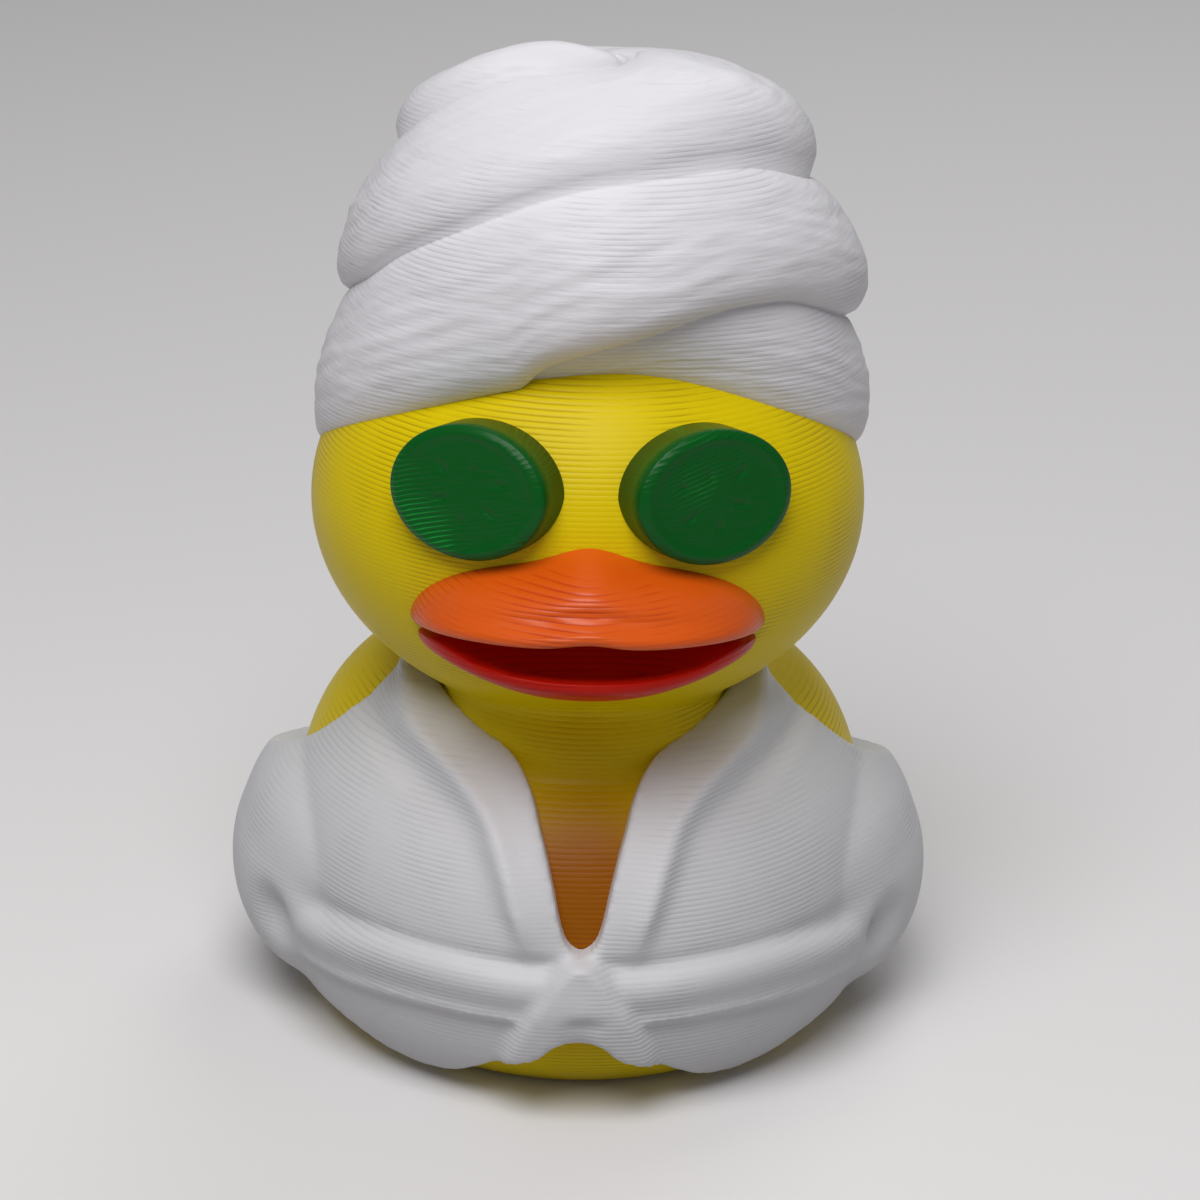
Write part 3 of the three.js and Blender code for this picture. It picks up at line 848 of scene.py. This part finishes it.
def upperBillPoint(p):
    rim = billRim(p.x)
    ridge = mix(bill["shoulder"], 1, bell(p.x, bill["ridgeWidth"]))
    reach = bill["reach"]
    if p.z > 0:
        z = rim + (bill["lipHeight"] + bill["bumpRise"] - rim) * ridge * p.z**1.25
        reach *= 1 - bill["creaseDepth"] * bell(p.z - 0.25, 0.18) * bell(p.x, 0.8)
    else:
        z = rim - bill["lipThickness"] * (-p.z) ** 0.4
    return p.x * bill["halfWidth"], bill["root"] + p.y * reach, z


def lowerBillPoint(p):
    y = bill["root"] + p.y * bill["scoopReach"]
    edge = math.hypot(p.x, p.y)
    roof = billRim(p.x) - bill["lipThickness"] - bill["scoopGap"]
    back = easeStep(-0.75, -0.375, p.y)  # the mouth closes towards the head
    middle = bill["lipHeight"] - bill["scoopGape"] + bill["scoopRim"] * edge ** bill["scoopBowl"]
    floor = mix(middle, roof, abs(p.x) ** 3 * bill["scoopCorner"])
    if p.z > 0:
        z = mix(floor, roof, back)
    else:
        z = floor - bill["scoopThickness"] * (-p.z) ** 0.6
    z -= bill["scoopSoftness"] * bell(p.z, 0.35) * (1 - abs(p.x) ** 3)
    return p.x * bill["scoopHalfWidth"], y, min(z, roof)


upperBill = asObject("upperBill", roundBall(*bill["faces"], upperBillPoint))
lowerBill = asObject("lowerBill", roundBall(*bill["faces"], lowerBillPoint))

# Finishes: each colour of the print and the colour between its layers, darker on most; the lower bill's red
# is painted shade on the orange print, and the green's lighter layer colour is a painted highlight
finishes = {
    "yellowPrint": {
        "colour": (228, 202, 0), "groove": (192, 160, 0), "roughness": 0.4, "shine": 0.14,
        "glow": 0.15, "glowReach": (1, 0.5, 0.05),
        "lines": 0.8, "evenLines": 0.45, "streaks": 0.3, "uneven": 0.4, "slant": 0,
        # painted shade: the chest under the bill darkened to orange-brown
        "paintedChestShade": {"spot": (0, -16, 12.5), "core": 2.5, "reach": 11, "colour": (152, 86, 0)},
    },
    "robePrint": {
        "colour": (214, 214, 217), "groove": (204, 204, 208), "roughness": 0.5, "shine": 0.35,
        "glow": 0.25, "glowReach": (1, 1, 1),
        "lines": 0.6, "evenLines": 0.2, "streaks": 0.7, "uneven": 0.6, "slant": 0,
    },
    "towelPrint": {
        "colour": (230, 228, 232), "groove": (212, 209, 215), "roughness": 0.5, "shine": 0.35,
        "glow": 0.25, "glowReach": (1, 1, 1),
        "lines": 0.5, "evenLines": 0.2, "streaks": 2.4, "uneven": 0.8, "slant": 0,
    },
    "greenPrint": {
        # painted highlight: its groove colour is a lighter green, standing in for light caught along the
        # layer lines
        "colour": (0, 86, 24), "groove": (18, 146, 54), "roughness": 0.34, "shine": 0.2,
        "glow": 0.04, "glowReach": (0.2, 1, 0.4),
        "lines": -1, "evenLines": 0.1, "streaks": 1.6, "uneven": 0.6, "slant": -0.3,
    },
    "orangePrint": {
        "colour": (228, 92, 12), "groove": (196, 56, 6), "roughness": 0.34, "shine": 0.35,
        "glow": 0.12, "glowReach": (1, 0.4, 0.1),
        "lines": 0.9, "evenLines": 0.35, "streaks": 0.4, "uneven": 0.5, "slant": 0,
    },
    # painted shade: the lower bill is the orange print, coloured red to stand in for the shade under the
    # upper bill
    "shadedOrangePrint": {
        "colour": (198, 20, 2), "groove": (176, 12, 0), "roughness": 0.38, "shine": 0.2,
        "glow": 0.16, "glowReach": (1, 0.2, 0.1),
        "lines": 0.4, "evenLines": 0.2, "streaks": 0.3, "uneven": 0.4, "slant": 0,
    },
}
plastics = {name: printedPlastic(name, look) for name, look in finishes.items()}
print("finishes mixed")

# Each piece with its finish, the solid that it replaces and that solid's slot
dressed = [
    (bodyPiece, "yellowPrint", "duck_body", "yellow_print"),
    (robePiece, "robePrint", "bath_robe", "robe_white_print"),
    (towelPiece, "towelPrint", "towel_turban", "towel_white_print"),
    (sliceLeft, "greenPrint", "cucumber_slice_left", "green_print"),
    (sliceRight, "greenPrint", "cucumber_slice_right", "green_print"),
    (upperBill, "orangePrint", "upper_bill", "orange_print"),
    (lowerBill, "shadedOrangePrint", "lower_bill", "red_print"),
]
for piece, plastic, node, slot in dressed:
    finishPiece(piece, plastics[plastic], node)
